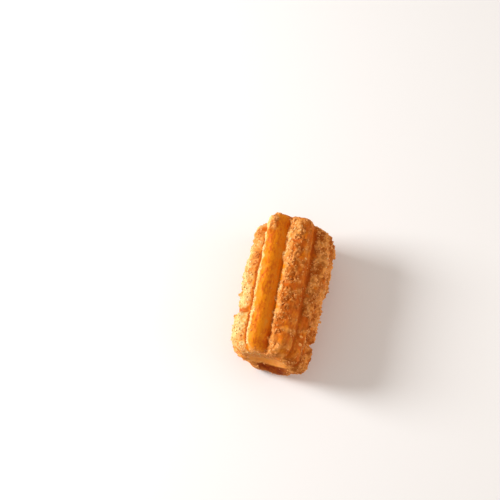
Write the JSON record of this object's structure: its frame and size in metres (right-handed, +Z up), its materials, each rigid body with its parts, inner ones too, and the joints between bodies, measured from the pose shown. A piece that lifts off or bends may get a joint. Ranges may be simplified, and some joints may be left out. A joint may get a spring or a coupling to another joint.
{
  "type": "churro",
  "caption": "Short ridged fried dough stick with cut ends and a coarse cinnamon sugar coat, lying on its side.",
  "frame": {"origin": "on the table, under the middle of the churro's bounding box, as it lies on two ridges", "axes": "+X along the churro towards its far end, +Y to its left side seen from the near end, +Z up through its best side"},
  "size_m": [0.0504, 0.0282, 0.0245],
  "materials": {
    "fried_crust": "golden fried dough, smooth and faintly greasy in the grooves, coated on the ridges",
    "sugar_coat": "coarse sugar grains stained pale amber by the oil",
    "cinnamon": "dull dark brown cinnamon specks"
  },
  "bodies": {
    "root": {"churro": "fried_crust"}
  },
  "joints": []
}
